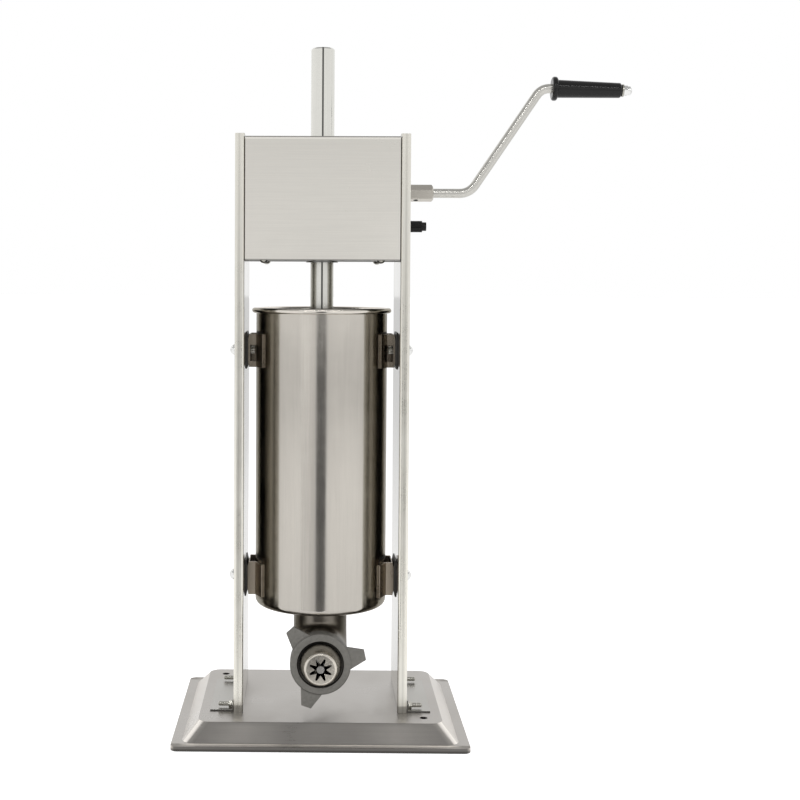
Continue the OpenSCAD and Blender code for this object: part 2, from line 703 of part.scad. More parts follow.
// Crank shaft group
module crank_shaft() color([0.70, 0.70, 0.69])
    x_rod(shaft_left, rod_start, shaft_d, gear_y, crank_z);
module crank_pinion() color([0.58, 0.58, 0.57]) difference() {
    x_gear(pair_module, crank_teeth, crank_pinion_w, gear_x - (crank_pinion_w - gear_w) / 2, crank_z,
        90 % (360 / crank_teeth) + 180 / crank_teeth);
    x_rod(gear_x - crank_pinion_w, gear_x + 2 * crank_pinion_w, shaft_d + 2 * fit_gap, gear_y, crank_z);
}
module crank_shaft_collars() color([0.50, 0.50, 0.50]) collars(crank_z);
module crank_hub() color([0.78, 0.77, 0.75]) difference() {
    intersection() {
        x_hex(hub_x, hub_end, hub_af, gear_y, crank_z, hub_turn);
        translate([hub_x, gear_y, crank_z]) rotate([0, 90, 0]) union() {
            cylinder(h = hub_len - hub_chamfer, d = hub_af * hex_corner + over, $fn = round_fn);
            translate([0, 0, hub_len - hub_chamfer])
                cylinder(h = hub_chamfer, d1 = hub_af * hex_corner, d2 = hub_af - hub_chamfer, $fn = round_fn);
        }
    }
    x_rod(hub_x - over, rod_start, shaft_d + 2 * fit_gap, gear_y, crank_z);
    x_rod(rod_start - over, hub_end + over, rod_d + 2 * fit_gap, gear_y, crank_z);
    translate([set_screw_x, gear_y, crank_z]) rotate([-hub_turn, 0, 0]) rotate([180, 0, 0])
        cylinder(h = hub_af, d = m5_d + 2 * fit_gap, $fn = small_fn);
}
module hub_set_screw() color([0.20, 0.20, 0.20])
    translate([set_screw_x, gear_y, crank_z]) rotate([-hub_turn, 0, 0]) rotate([180, 0, 0]) difference() {
        translate([0, 0, shaft_d / 2 + fit_gap])
            cylinder(h = hub_af / 2 - shaft_d / 2 - fit_gap, d = m5_d, $fn = small_fn);
        translate([0, 0, hub_af / 2 - m5_d / 5])
            cylinder(h = m5_d, d = m5_d / 2 * hex_corner, $fn = 6);
    }

// Crank rod: out of the hub, up the slope and along the grip
module rod_bend(r, a)
    rotate_extrude(angle = a, $fn = round_fn) translate([r, 0]) circle(d = rod_d, $fn = small_fn);
in_tangent = bend_in_r * tan(arm_slope / 2);
out_angle = arm_slope + grip_droop;
out_tangent = bend_out_r * tan(out_angle / 2);
arm_len = crank_r / sin(arm_slope);
grip_start = grip_x - arm_top_x;
grip_rod_len = grip_start + grip_len + seat_gap;
module at_arm_top() translate([arm_top_x, gear_y, crank_z + crank_r]) rotate([0, grip_droop, 0]) children();
module splice() translate([0, 0, -splice_h]) cylinder(h = 2 * splice_h, d = rod_d + 2 * splice_rise, $fn = small_fn);
module crank_rod() color([0.74, 0.74, 0.73]) {
    x_rod(rod_start, arm_corner_x - in_tangent - splice_gap, rod_d, gear_y, crank_z);
    translate([arm_corner_x - in_tangent, gear_y, crank_z]) rotate([0, 90, 0]) splice();
    translate([arm_corner_x - in_tangent, gear_y, crank_z + bend_in_r]) rotate([90, 0, 0])
        rotate(-90) rod_bend(bend_in_r, arm_slope);
    translate([arm_corner_x, gear_y, crank_z]) rotate([0, 90 - arm_slope, 0]) {
        translate([0, 0, in_tangent]) splice();
        translate([0, 0, in_tangent + splice_gap]) cylinder(
            h = arm_len - in_tangent - out_tangent - 2 * splice_gap, d = rod_d, $fn = small_fn);
        translate([0, 0, arm_len - out_tangent]) splice();
    }
    at_arm_top() {
        translate([out_tangent, 0, -bend_out_r]) rotate([90, 0, 0]) rotate(90) rod_bend(bend_out_r, out_angle);
        translate([out_tangent, 0, 0]) rotate([0, 90, 0]) splice();
        x_rod(out_tangent + splice_gap, grip_rod_len, rod_d, 0, 0);
        x_rod(grip_rod_len, grip_rod_len + rod_tail, grip_thread_d, 0, 0);
    }
}
module crank_grip() color([0.08, 0.08, 0.08]) at_arm_top()
    translate([grip_start, 0, 0]) rotate([0, 90, 0]) difference() {
        rotate_extrude($fn = round_fn) union() {
            square([grip_flange_d / 2 - grip_flange_round, grip_flange_t]);
            translate([0, grip_flange_round])
                square([grip_flange_d / 2, grip_flange_t - 2 * grip_flange_round]);
            for (y = [grip_flange_round, grip_flange_t - grip_flange_round])
                translate([grip_flange_d / 2 - grip_flange_round, y])
                    circle(r = grip_flange_round, $fn = small_fn);
            polygon([[0, grip_flange_t / 2], [grip_d / 2, grip_flange_t / 2],
                [grip_end_d / 2, grip_len - grip_end_round], [grip_end_d / 2 - grip_end_round, grip_len],
                [0, grip_len]]);
        }
        translate([0, 0, -over]) cylinder(h = grip_len + 2 * over, d = rod_d + 2 * run_gap, $fn = round_fn);
    }
module grip_washer() color([0.76, 0.76, 0.74]) at_arm_top() difference() {
    x_rod(grip_rod_len, grip_rod_len + grip_washer_t, grip_washer_d, 0, 0);
    x_rod(grip_rod_len - over, grip_rod_len + grip_washer_t + over, grip_thread_d + 2 * fit_gap, 0, 0);
}
module grip_cap_nut() color([0.80, 0.80, 0.78]) at_arm_top() {
    x0 = grip_rod_len + grip_washer_t;
    difference() {
        union() {
            x_hex(x0, x0 + grip_nut_hex_h, grip_nut_af, 0, 0, 90);
            translate([x0, 0, 0]) rotate([0, 90, 0]) dome(grip_nut_dome_d, grip_nut_h);
        }
        x_rod(x0 - over, grip_rod_len + rod_tail + fit_gap, grip_thread_d + 2 * fit_gap, 0, 0);
    }
}

// Rack, toothed along its rear
teeth_low = pinion_z - travel_up - 2 * rack_pitch;
teeth_high = pinion_z + travel_down + 2 * rack_pitch;
module rack_teeth_cut() {
    lean = tan(pressure);
    half = rack_pitch / 4 - backlash / 4;
    low = round((teeth_low - pinion_z) / rack_pitch);
    high = round((teeth_high - pinion_z) / rack_pitch);
    gap_tip = rack_pitch / 2 - (half - (rack_tip_y - rack_pitch_y) * lean);
    gap_root = rack_pitch / 2 - (half + (rack_pitch_y - rack_root_y) * lean);
    rotate([90, 0, 90]) translate([0, 0, -rack_d / 2 - over]) linear_extrude(rack_d + 2 * over)
        polygon(concat(
            [[rack_d, pinion_z + low * rack_pitch - gap_tip]],
            [for (i = [low:high]) let (z = pinion_z + i * rack_pitch) each [
                [rack_tip_y, z - gap_tip], [rack_root_y, z - gap_root],
                [rack_root_y, z + gap_root], [rack_tip_y, z + gap_tip]]],
            [[rack_d, pinion_z + high * rack_pitch + gap_tip]]));
}
module rack() color([0.76, 0.75, 0.73]) difference() {
    union() {
        translate([0, 0, rack_seat])
            cylinder(h = rack_top - rack_seat - rack_chamfer, d = rack_d, $fn = round_fn);
        translate([0, 0, rack_top - rack_chamfer])
            cylinder(h = rack_chamfer, d1 = rack_d, d2 = rack_d - 2 * rack_chamfer, $fn = round_fn);
        translate([0, 0, piston_bottom + stud_chamfer])
            cylinder(h = rack_seat - piston_bottom - stud_chamfer + over, d = rack_stud_d, $fn = round_fn);
    }
    translate([-groove_w / 2, -rack_d / 2 - over, rack_seat - over])
        cube([groove_w, groove_depth + over, rack_top - rack_seat + 2 * over]);
    rack_teeth_cut();
}

// Piston group
module piston() color([0.90, 0.89, 0.86]) difference() {
    translate([0, 0, piston_bottom]) rotate_extrude($fn = round_fn) union() {
        square([piston_r - piston_edge_r, piston_t]);
        translate([0, piston_edge_r]) square([piston_r, piston_t - 2 * piston_edge_r]);
        for (z = [piston_edge_r, piston_t - piston_edge_r])
            translate([piston_r - piston_edge_r, z]) circle(r = piston_edge_r, $fn = small_fn);
    }
    translate([0, 0, piston_bottom - over])
        cylinder(h = piston_t + 2 * over, d = rack_stud_d + 2 * fit_gap, $fn = round_fn);
    translate([0, 0, piston_bottom - over])
        cylinder(h = piston_recess_h + over, d = piston_recess_d, $fn = round_fn);
    translate([0, 0, piston_bottom + (piston_t - seal_h) / 2]) difference() {
        cylinder(h = seal_h, r = piston_r + over, $fn = round_fn);
        translate([0, 0, -over]) cylinder(h = seal_h + 2 * over, r = piston_r - seal_depth, $fn = round_fn);
    }
    translate([valve_x, 0, piston_bottom - over]) {
        cylinder(h = piston_t + 2 * over, d = valve_stem_d + 2 * free_gap, $fn = small_fn);
        cylinder(h = valve_recess_h + over, d = valve_recess_d, $fn = small_fn);
    }
}
module piston_seal() color([0.93, 0.92, 0.90])
    translate([0, 0, piston_bottom + (piston_t - seal_h) / 2 + fit_gap]) difference() {
        cylinder(h = seal_h - 2 * fit_gap, r = barrel_r - barrel_wall - seal_gap, $fn = round_fn);
        translate([0, 0, -over])
            cylinder(h = seal_h + 2 * over, r = piston_r - seal_depth + fit_gap, $fn = round_fn);
    }
module piston_washer() color([0.74, 0.74, 0.72]) translate([0, 0, piston_top]) difference() {
    cylinder(h = rack_seat - piston_top, d = piston_washer_d, $fn = round_fn);
    translate([0, 0, -over])
        cylinder(h = rack_seat - piston_top + 2 * over, d = rack_stud_d + 2 * fit_gap, $fn = round_fn);
}
module piston_nut() color([0.74, 0.74, 0.72])
    translate([0, 0, piston_bottom + piston_recess_h - piston_nut_h]) difference() {
        cylinder(h = piston_nut_h, d = piston_nut_af * hex_corner, $fn = 6);
        translate([0, 0, -over])
            cylinder(h = piston_nut_h + 2 * over, d = rack_stud_d + 2 * fit_gap, $fn = round_fn);
    }
module air_valve() color([0.76, 0.76, 0.74]) translate([valve_x, 0, 0]) {
    translate([0, 0, piston_bottom + free_gap - valve_head_h])
        cylinder(h = valve_head_h, d = valve_head_d, $fn = small_fn);
    translate([0, 0, piston_bottom])
        cylinder(h = piston_t + valve_tail, d = valve_stem_d, $fn = small_fn);
}
module air_valve_clip() color([0.30, 0.30, 0.30])
    translate([valve_x, 0, piston_top + free_gap]) difference() {
        cylinder(h = valve_clip_h, d = valve_clip_d, $fn = small_fn);
        translate([0, 0, -over])
            cylinder(h = valve_clip_h + 2 * over, d = valve_stem_d + 2 * fit_gap, $fn = small_fn);
    }

// Barrel: a drawn cylinder with a rolled rim and a hole for the outlet
module barrel() color([0.76, 0.75, 0.72]) rotate_extrude($fn = round_fn) union() {
    translate([barrel_r - barrel_wall, barrel_bottom + barrel_corner_r])
        square([barrel_wall, barrel_h - barrel_corner_r - rim_bead_d / 2]);
    translate([barrel_r - barrel_corner_r, barrel_bottom + barrel_corner_r])
        corner_ring(barrel_corner_r, barrel_corner_r - barrel_wall);
    translate([tube_bore / 2, barrel_bottom])
        square([barrel_r - barrel_corner_r - tube_bore / 2, barrel_wall]);
    translate([barrel_r - barrel_wall + rim_bead_d / 2, barrel_top - rim_bead_d / 2])
        circle(d = rim_bead_d, $fn = small_fn);
}

// A bracket of the barrel, on +X: a hat section with wings that follow the barrel
module lug(zc, window)
    difference() {
        union() {
            translate([0, 0, zc]) rotate([90, 0, 0]) linear_extrude(lug_w, center = true) polygon([
                [lug_out - lug_t, -lug_h / 2], [lug_out - lug_t / 2, -lug_h / 2], [lug_out, -lug_h / 2 + pad_bevel],
                [lug_out, lug_h / 2 - pad_bevel], [lug_out - lug_t / 2, lug_h / 2], [lug_out - lug_t, lug_h / 2]]);
            translate([0, 0, zc - lug_h / 2]) linear_extrude(lug_h) difference() {
                for (s = [-1, 1]) {
                    translate([0, s * (lug_w / 2 - lug_t / 2) - lug_t / 2])
                        square([lug_out - lug_t / 2, lug_t]);
                    intersection() {
                        circle(r = barrel_r + weld_gap + lug_t, $fn = round_fn);
                        polygon([[0, 0], [wing_reach * cos(lug_wing_angle), s * wing_reach * sin(lug_wing_angle)],
                            [wing_reach * cos(lug_wrap), s * wing_reach * sin(lug_wrap)]]);
                    }
                }
                circle(r = barrel_r + weld_gap, $fn = round_fn);
            }
        }
        x_rod(lug_out - 2 * lug_t, lug_out + over, stud_d + 2 * hole_gap, 0, zc);
        if (window) translate([barrel_r - over, -lug_w / 2 - over, zc - window_h + window_rise])
            cube([lug_out - lug_t / 2 - barrel_r, lug_t + 2 * over, window_h]);
    }
lug_wing_angle = asin((lug_w / 2 - lug_t / 2) / (barrel_r + lug_t / 2));
wing_reach = 2 * barrel_r;
module upper_left_bracket() color([0.62, 0.60, 0.57]) mirror([1, 0, 0]) lug(stud_z_high, true);
module lower_left_bracket() color([0.62, 0.60, 0.57]) mirror([1, 0, 0]) lug(stud_z_low, false);
module upper_right_bracket() color([0.62, 0.60, 0.57]) lug(stud_z_high, true);
module lower_right_bracket() color([0.62, 0.60, 0.57]) lug(stud_z_low, false);

// Pads between the brackets and the webs
module bracket_pads() color([0.40, 0.39, 0.37])
    for (s = [0, 1], zc = stud_zs) mirror([s, 0, 0]) difference() {
        translate([0, 0, zc]) rotate([90, 0, 0]) linear_extrude(lug_w, center = true) polygon([
            [web_x, -lug_h / 2 - lug_t], [web_x, lug_h / 2 + lug_t], [web_x - pad_t / 3, lug_h / 2 + lug_t],
            [lug_out, lug_h / 2 - pad_bevel], [lug_out, -lug_h / 2 + pad_bevel],
            [web_x - pad_t / 3, -lug_h / 2 - lug_t]]);
        x_rod(lug_out - over, web_x + over, stud_d + 2 * fit_gap, 0, zc);
    }
module mounting_studs() color([0.72, 0.72, 0.70])
    for (s = [0, 1], zc = stud_zs) mirror([s, 0, 0]) x_rod(stud_in, stud_end, stud_d, 0, zc);
washer_x = web_x + upright_t;
module stud_washers() color([0.74, 0.74, 0.72])
    for (s = [0, 1], zc = stud_zs) mirror([s, 0, 0]) difference() {
        x_rod(washer_x, washer_x + washer_t, stud_washer_d, 0, zc);
        x_rod(washer_x - over, washer_x + washer_t + over, stud_d + 2 * fit_gap, 0, zc);
    }
module stud_cap_nuts() color([0.86, 0.86, 0.85])
    for (s = [0, 1], zc = stud_zs) mirror([s, 0, 0]) difference() {
        union() {
            x_hex(washer_x + washer_t, washer_x + washer_t + cap_hex_h, cap_af, 0, zc, 90);
            translate([washer_x + washer_t, 0, zc]) rotate([0, 90, 0])
                cylinder(h = cap_h - cap_af / 2, d = cap_af - fit_gap, $fn = small_fn);
            translate([washer_x + washer_t + cap_h - cap_af / 2, 0, zc])
                sphere(d = cap_af - fit_gap, $fn = small_fn);
        }
        x_rod(washer_x, washer_x + washer_t + cap_bore_end, stud_d + 2 * fit_gap, 0, zc);
    }

// Outlet elbow with a threaded end
module elbow_solid(d, reach, rise) {
    y_rod(-elbow_r, -reach, d, 0, nozzle_z);
    translate([0, 0, nozzle_z + elbow_r])
        cylinder(h = barrel_bottom - nozzle_z - elbow_r + rise, d = d, $fn = round_fn);
    translate([0, -elbow_r, nozzle_z + elbow_r]) rotate([0, 90, 0]) rotate([0, 0, 0])
        rotate_extrude(angle = 90, $fn = round_fn) translate([elbow_r, 0]) circle(d = d, $fn = round_fn);
}
module outlet_elbow() color([0.42, 0.40, 0.37]) difference() {
    elbow_solid(tube_od, tube_end, 0);
    elbow_solid(tube_bore, tube_end + over, over);
    for (i = [0:thread_count - 1]) let (y = tube_end - thread_ring * (2 * i + 1.5)) difference() {
        y_rod(-y, -y + thread_ring, tube_od + 2 * over, 0, nozzle_z);
        y_rod(-y - over, -y + thread_ring + over, tube_od - 2 * thread_depth, 0, nozzle_z);
    }
}
module outlet_gasket() color([0.92, 0.91, 0.88]) difference() {
    y_rod(-tube_end, -gasket_front, nozzle_flange_d, 0, nozzle_z);
    y_rod(-tube_end + over, -gasket_front - over, gasket_id, 0, nozzle_z);
}

// Nozzle: a tapering cup with a round edge and a star cut through its face
module nozzle() color([0.80, 0.78, 0.75]) translate([0, 0, nozzle_z]) difference() {
    rotate([90, 0, 0]) rotate_extrude($fn = round_fn) union() {
        translate([nozzle_od / 2 - nozzle_wall, gasket_front])
            square([nozzle_wall, nut_front - gasket_front]);
        polygon([[nozzle_od / 2 - nozzle_wall, nut_front], [nozzle_od / 2, nut_front],
            [nozzle_tip_d / 2, nozzle_face - nozzle_edge_r],
            [nozzle_tip_d / 2 - nozzle_wall, nozzle_face - nozzle_edge_r]]);
        translate([nozzle_od / 2 - nozzle_wall, gasket_front])
            square([nozzle_flange_d / 2 - nozzle_od / 2 + nozzle_wall, nozzle_flange_t]);
        translate([nozzle_tip_d / 2 - nozzle_edge_r, nozzle_face - nozzle_edge_r]) mirror([0, 1])
            corner_ring(nozzle_edge_r, nozzle_edge_r - nozzle_wall);
        translate([0, nozzle_face - nozzle_face_t])
            square([nozzle_tip_d / 2 - nozzle_edge_r, nozzle_face_t]);
    }
    rotate([90, 0, 0]) translate([0, 0, nozzle_face - nozzle_face_t - over])
        linear_extrude(nozzle_face_t + 2 * over) {
            circle(r = star_hole_r, $fn = small_fn);
            for (i = [0:star_rays - 1]) rotate(ray_turn + 360 * i / star_rays) {
                polygon([[star_hole_r / 2, -ray_base_w / 2], [star_r - ray_tip_w / 2, -ray_tip_w / 2],
                    [star_r - ray_tip_w / 2, ray_tip_w / 2], [star_hole_r / 2, ray_base_w / 2]]);
                translate([star_r - ray_tip_w / 2, 0]) circle(d = ray_tip_w, $fn = small_fn);
            }
        }
}
// Core: the pin in the star, carried by a three-armed ring behind it
module nozzle_core() color([0.66, 0.65, 0.63]) {
    core_r = nozzle_od / 2 - nozzle_wall - fit_gap;
    difference() {
        y_rod(-gasket_front, -gasket_front - core_ring_h, 2 * core_r, 0, nozzle_z);
        y_rod(-gasket_front + over, -gasket_front - core_ring_h - over, 2 * (core_r - core_ring_w), 0, nozzle_z);
    }
    y_rod(-gasket_front, -nozzle_face + nozzle_face_t / 4, core_pin_d, 0, nozzle_z);
    for (i = [0:core_arms - 1]) translate([0, -gasket_front - core_ring_h / 2, nozzle_z])
        rotate([0, 360 * i / core_arms, 0])
            translate([core_pin_d / 4, -core_ring_h / 2, -core_arm_w / 2])
                cube([core_r - core_ring_w / 2 - core_pin_d / 4, core_ring_h, core_arm_w]);
}

// Nut with three lobes
module nozzle_nut() color([0.45, 0.44, 0.42]) translate([0, 0, nozzle_z]) difference() {
    union() {
        rotate([90, 0, 0]) translate([0, 0, nut_rear])
            cylinder(h = nut_len - nut_edge, d = nut_od, $fn = round_fn);
        rotate([90, 0, 0]) translate([0, 0, nut_front - nut_edge])
            cylinder(h = nut_edge, d1 = nut_od, d2 = nut_od - 2 * nut_edge, $fn = round_fn);
        rotate([90, 0, 0]) translate([0, 0, nut_front - lobe_set_back - lobe_t]) linear_extrude(lobe_t)
            for (i = [0:2]) rotate(lobe_turn + 120 * i) polygon([[0, 0],
                polar(lobe_root_share * nut_od / 2, -lobe_base_angle), polar(lobe_r, -lobe_tip_angle),
                polar(lobe_r, lobe_tip_angle), polar(lobe_root_share * nut_od / 2, lobe_base_angle)]);
    }
    rotate([90, 0, 0]) translate([0, 0, nut_rear - over])
        cylinder(h = nut_len - nut_face_t + over, d = nut_bore_d, $fn = round_fn);
    rotate([90, 0, 0]) translate([0, 0, nut_rear - over])
        cylinder(h = nut_len + 2 * over, d = nut_hole_d, $fn = round_fn);
}

base_tray();
left_upright();
right_upright();
left_foot_bracket();
right_foot_bracket();
foot_bolts();
foot_nuts();
gearbox_front_cover();
gearbox_rear_cover();
gearbox_top_plate();
gearbox_bottom_plate();
left_side_plate();
right_side_plate();
underside_dome_screws();
top_screws();
side_plate_bolts();
side_plate_nuts();
shaft_bushes();
upper_rack_bush();
lower_rack_bush();
pinion_shaft();
rack_pinion();
gear_spacer();
reduction_gear();
pinion_shaft_collars();
pinion_shaft_cap();
crank_shaft();
crank_pinion();
crank_shaft_collars();
crank_hub();
hub_set_screw();
crank_rod();
crank_grip();
grip_washer();
grip_cap_nut();
rack();
piston();
piston_seal();
piston_washer();
piston_nut();
air_valve();
air_valve_clip();
barrel();
upper_left_bracket();
lower_left_bracket();
upper_right_bracket();
lower_right_bracket();
bracket_pads();
mounting_studs();
stud_washers();
stud_cap_nuts();
outlet_elbow();
outlet_gasket();
nozzle();
nozzle_core();
nozzle_nut();
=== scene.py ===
import json
import math

import bmesh
import bpy
from mathutils import Matrix, Vector


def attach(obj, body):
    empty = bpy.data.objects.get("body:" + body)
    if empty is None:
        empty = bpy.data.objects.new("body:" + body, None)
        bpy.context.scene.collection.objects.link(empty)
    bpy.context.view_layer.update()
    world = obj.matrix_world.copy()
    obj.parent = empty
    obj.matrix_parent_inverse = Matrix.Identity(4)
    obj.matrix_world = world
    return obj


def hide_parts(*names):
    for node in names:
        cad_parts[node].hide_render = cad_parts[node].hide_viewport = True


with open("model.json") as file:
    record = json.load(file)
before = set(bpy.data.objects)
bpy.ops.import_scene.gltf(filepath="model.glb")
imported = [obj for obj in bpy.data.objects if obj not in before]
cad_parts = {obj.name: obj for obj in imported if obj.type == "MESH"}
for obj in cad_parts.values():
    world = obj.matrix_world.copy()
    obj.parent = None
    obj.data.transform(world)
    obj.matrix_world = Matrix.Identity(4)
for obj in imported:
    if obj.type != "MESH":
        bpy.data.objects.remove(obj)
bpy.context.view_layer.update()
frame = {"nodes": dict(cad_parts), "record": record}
scene = bpy.context.scene
scene.view_settings.view_transform = "Standard"
MM = 0.001

# Camera as fitted to the photograph: place in metres, angles in degrees, shift in picture widths
CAMERA_PLACE = (-10.82 * MM, -1480.2 * MM, 468.96 * MM)
CAMERA_FOCAL_SHARE = 1382.48 / 800
CAMERA_SHIFT = (0.1314, -0.0825)
CAMERA_PITCH, CAMERA_YAW, CAMERA_ROLL = (math.radians(a) for a in (2.19, -0.69, 0.26))
SENSOR = 36.0


def make_camera():
    data = bpy.data.cameras.new("camera")
    data.sensor_width = SENSOR
    data.lens = SENSOR * CAMERA_FOCAL_SHARE
    data.shift_x, data.shift_y = CAMERA_SHIFT
    cam = bpy.data.objects.new("camera", data)
    scene.collection.objects.link(cam)
    sy, cy = math.sin(CAMERA_YAW), math.cos(CAMERA_YAW)
    forward = Vector((sy * math.cos(CAMERA_PITCH), cy * math.cos(CAMERA_PITCH), -math.sin(CAMERA_PITCH)))
    right = Vector((cy, -sy, 0))
    up = right.cross(forward)
    cr, sr = math.cos(CAMERA_ROLL), math.sin(CAMERA_ROLL)
    side = cr * right + sr * up
    top = cr * up - sr * right
    turn = Matrix((side, top, -forward)).transposed().to_4x4()
    cam.matrix_world = Matrix.Translation(CAMERA_PLACE) @ turn
    scene.camera = cam


NOISE_REACH = (0.3, 0.7)
NEW_STOP = 0.5


class Nodes:
    """A material's node tree and the few node patterns that the looks share."""

    def __init__(self, name):
        self.material = bpy.data.materials.new(name)
        self.material.use_nodes = True
        self.tree = self.material.node_tree
        self.tree.nodes.clear()
        out = self.add("ShaderNodeOutputMaterial")
        self.shader = self.add("ShaderNodeBsdfPrincipled")
        self.link(self.shader.outputs[0], out.inputs[0])
        where = self.add("ShaderNodeTexCoord")
        self.place = where.outputs["Object"]
        self.normal = where.outputs["Normal"]

    def add(self, kind, **values):
        node = self.tree.nodes.new(kind)
        for key, value in values.items():
            setattr(node, key, value)
        return node

    def link(self, a, b):
        self.tree.links.new(a, b)

    def noise(self, stretch, scale, detail, roughness, distortion=0.0):
        mapping = self.add("ShaderNodeMapping")
        mapping.inputs["Scale"].default_value = stretch
        self.link(self.place, mapping.inputs["Vector"])
        noise = self.add("ShaderNodeTexNoise")
        noise.inputs["Scale"].default_value = scale
        noise.inputs["Detail"].default_value = detail
        noise.inputs["Roughness"].default_value = roughness
        noise.inputs["Distortion"].default_value = distortion
        self.link(mapping.outputs[0], noise.inputs["Vector"])
        return noise.outputs["Fac"]

    def math(self, operation, a, b, clamp=False):
        node = self.add("ShaderNodeMath", operation=operation, use_clamp=clamp)
        for socket, value in zip(node.inputs, (a, b)):
            if isinstance(value, (int, float)):
                socket.default_value = value
            else:
                self.link(value, socket)
        return node.outputs[0]

    def spread(self, value, low, high, source=NOISE_REACH):
        """The value, taken from the source's range to the range low to high."""
        node = self.add("ShaderNodeMapRange")
        self.link(value, node.inputs["Value"])
        for key, number in zip(("From Min", "From Max", "To Min", "To Max"), (*source, low, high)):
            node.inputs[key].default_value = number
        return node.outputs[0]

    def mix(self, *parts):
        """Weighted sum of (value, weight) pairs."""
        total = None
        for value, weight in parts:
            term = self.math("MULTIPLY", value, weight)
            total = term if total is None else self.math("ADD", total, term)
        return total

    def ramp(self, value, *stops):
        node = self.add("ShaderNodeValToRGB")
        self.link(value, node.inputs[0])
        elements = node.color_ramp.elements
        while len(elements) < len(stops):
            elements.new(NEW_STOP)
        for element, (place, colour) in zip(elements, stops):
            element.position = place
            element.color = (*colour, 1)
        return node.outputs[0]

    def band(self, axis, low, high, soft):
        """1 where the absolute place along an axis lies between low and high, in metres."""
        axes = self.add("ShaderNodeSeparateXYZ")
        self.link(self.place, axes.inputs[0])
        place = self.math("ABSOLUTE", axes.outputs[axis], 0)
        rise = self.spread(place, 0, 1, (low - soft, low + soft))
        fall = self.spread(place, 1, 0, (high - soft, high + soft))
        return self.math("MULTIPLY", rise, fall)

    def facing(self, direction, low, high):
        """1 where the surface faces a direction or a mirror image of it, down to 0 at low."""
        plain = self.add("ShaderNodeVectorMath", operation="ABSOLUTE")
        self.link(self.normal, plain.inputs[0])
        along = self.add("ShaderNodeVectorMath", operation="DOT_PRODUCT")
        self.link(plain.outputs[0], along.inputs[0])
        along.inputs[1].default_value = direction
        share = self.add("ShaderNodeMapRange")
        self.link(along.outputs["Value"], share.inputs["Value"])
        share.inputs["From Min"].default_value = low
        share.inputs["From Max"].default_value = high
        return share.outputs[0]

    def tinted(self, colour, share, factor):
        """The colour, multiplied by factor where share is 1."""
        node = self.add("ShaderNodeMix", data_type="RGBA", blend_type="MULTIPLY")
        self.link(share, node.inputs[0])
        self.link(colour, node.inputs[6])
        node.inputs[7].default_value = (factor, factor, factor, 1)
        return node.outputs[2]

    def bump(self, height, strength, distance):
        node = self.add("ShaderNodeBump")
        node.inputs["Strength"].default_value = strength
        node.inputs["Distance"].default_value = distance
        self.link(height, node.inputs["Height"])
        self.link(node.outputs[0], self.shader.inputs["Normal"])


def shade(colour, factor):
    return tuple(min(1.0, c * factor) for c in colour)


def linear(*levels):
    """Grey levels of 0 to 255, as shown, turned into the shader's linear values."""
    return tuple(((v / 255 + 0.055) / 1.055) ** 2.4 for v in levels)


# Stretch of the noise along x, y and z: a small number draws it out that way
ALONG_X = (14, 900, 900)
ALONG_Y = (900, 14, 900)
ALONG_Z = (900, 900, 14)
EVERY_WAY = (420, 420, 420)
CLOUD = (11, 11, 11)
SPECKS = (75, 75, 75)
FINE_ALONG_Z = (900, 900, 20)

# Scale, detail, roughness and distortion of each noise
STREAK_NOISE = (1.0, 4.0, 0.6)
CLOUD_NOISE = (1.0, 3.0, 0.55, 0.4)
SPECK_NOISE = (1.0, 5.0, 0.7)
FINE_NOISE = (1.0, 3.0, 0.6)
SOFT_NOISE = (1.5, 3.0, 0.5)

TONE_REACH = (-0.3, 0.3)
METAL_DARK, METAL_LIGHT = 0.72, 1.26
PLASTIC_DARK, PLASTIC_LIGHT = 0.75, 1.45
PLASTIC_STOPS = (0.3, 0.5, 0.72)
PLASTIC_GLOSS, PLASTIC_DULL = 0.8, 1.3
BUMP_DISTANCE = 0.05 * MM


